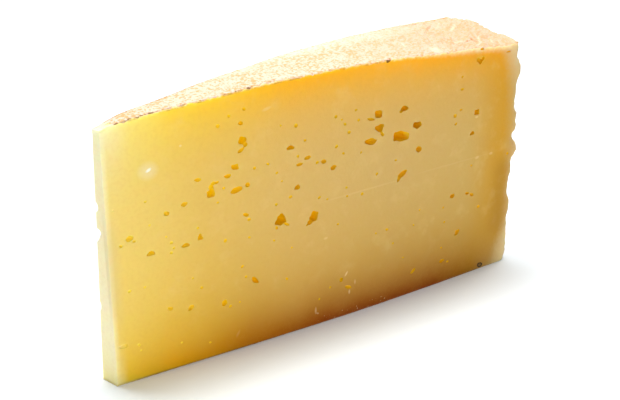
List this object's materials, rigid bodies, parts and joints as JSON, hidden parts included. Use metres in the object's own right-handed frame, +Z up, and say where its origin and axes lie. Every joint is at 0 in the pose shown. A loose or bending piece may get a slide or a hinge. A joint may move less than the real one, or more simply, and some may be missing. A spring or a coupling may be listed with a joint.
{
  "type": "cheese wedge",
  "caption": "Upright wedge of semi-hard cheese cut from a low wheel, with small irregular eyes in its cut faces, a thin end and a lumpy rind at the rim",
  "frame": {"origin": "middle of the wedge's box, on the surface that it stands on", "axes": "+X along the shown cut from the thin end to the rim, +Y from the shown cut to the cut behind, +Z up"},
  "size_m": [0.174, 0.0442, 0.0951],
  "materials": {
    "cheese": "waxy satin paste with a dry pale rind"
  },
  "bodies": {
    "root": {"cheese": "cheese"}
  },
  "joints": []
}
